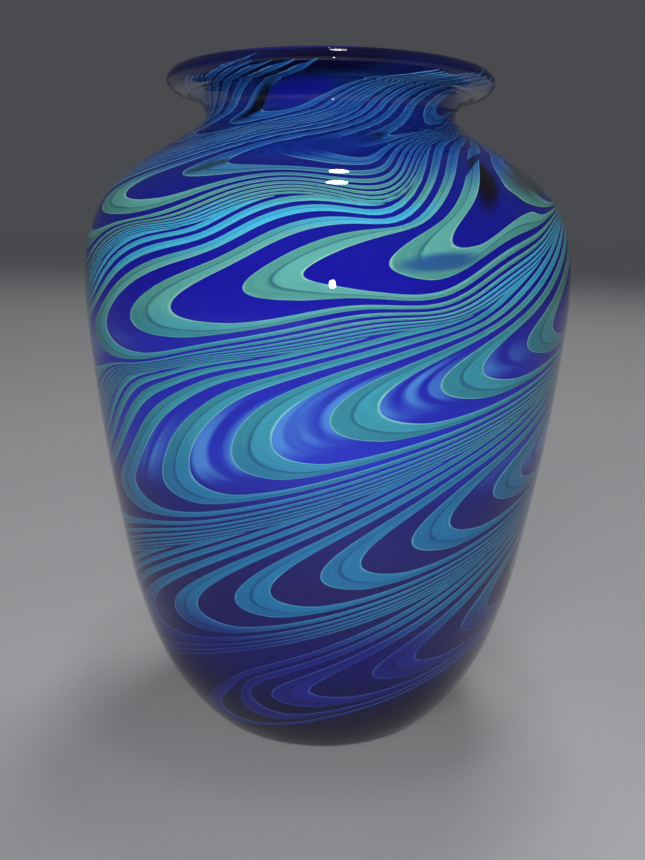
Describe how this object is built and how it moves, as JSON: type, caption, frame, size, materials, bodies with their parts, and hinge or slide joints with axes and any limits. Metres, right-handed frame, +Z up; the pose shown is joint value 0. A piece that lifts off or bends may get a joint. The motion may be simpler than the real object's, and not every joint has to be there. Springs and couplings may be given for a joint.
{
  "type": "hand blown art glass vase",
  "caption": "Shouldered blown glass vase with a flared lip: cobalt core, combed and twisted turquoise trail, clear casing.",
  "frame": {"origin": "middle of the foot, on the surface that the vase stands on", "axes": "+Z up along the vase's axis, from the foot to the lip; -Y is the side that the picture shows"},
  "size_m": [0.1868, 0.1868, 0.252],
  "materials": {
    "cobalt_glass": "polished cobalt blue glass, nearly opaque at this thickness",
    "clear_glass": "fire-polished clear glass",
    "royal_trail_glass": "royal blue trail glass, opaline",
    "sky_trail_glass": "sky blue trail glass, opaline",
    "turquoise_trail_glass": "turquoise trail glass with pale edges, opaline"
  },
  "bodies": {
    "root": {"cobalt_core": "cobalt_glass", "clear_casing": "clear_glass", "trail_01": "royal_trail_glass", "trail_02": "royal_trail_glass", "trail_03": "royal_trail_glass", "trail_04": "royal_trail_glass", "trail_05": "sky_trail_glass", "trail_06": "sky_trail_glass", "trail_07": "sky_trail_glass", "trail_08": "sky_trail_glass", "trail_09": "sky_trail_glass", "trail_10": "turquoise_trail_glass", "trail_11": "turquoise_trail_glass", "trail_12": "turquoise_trail_glass", "trail_13": "turquoise_trail_glass", "trail_14": "turquoise_trail_glass", "trail_15": "turquoise_trail_glass", "trail_16": "turquoise_trail_glass", "trail_17": "turquoise_trail_glass", "trail_18": "turquoise_trail_glass", "trail_19": "turquoise_trail_glass", "trail_20": "turquoise_trail_glass", "trail_21": "turquoise_trail_glass"}
  },
  "joints": []
}
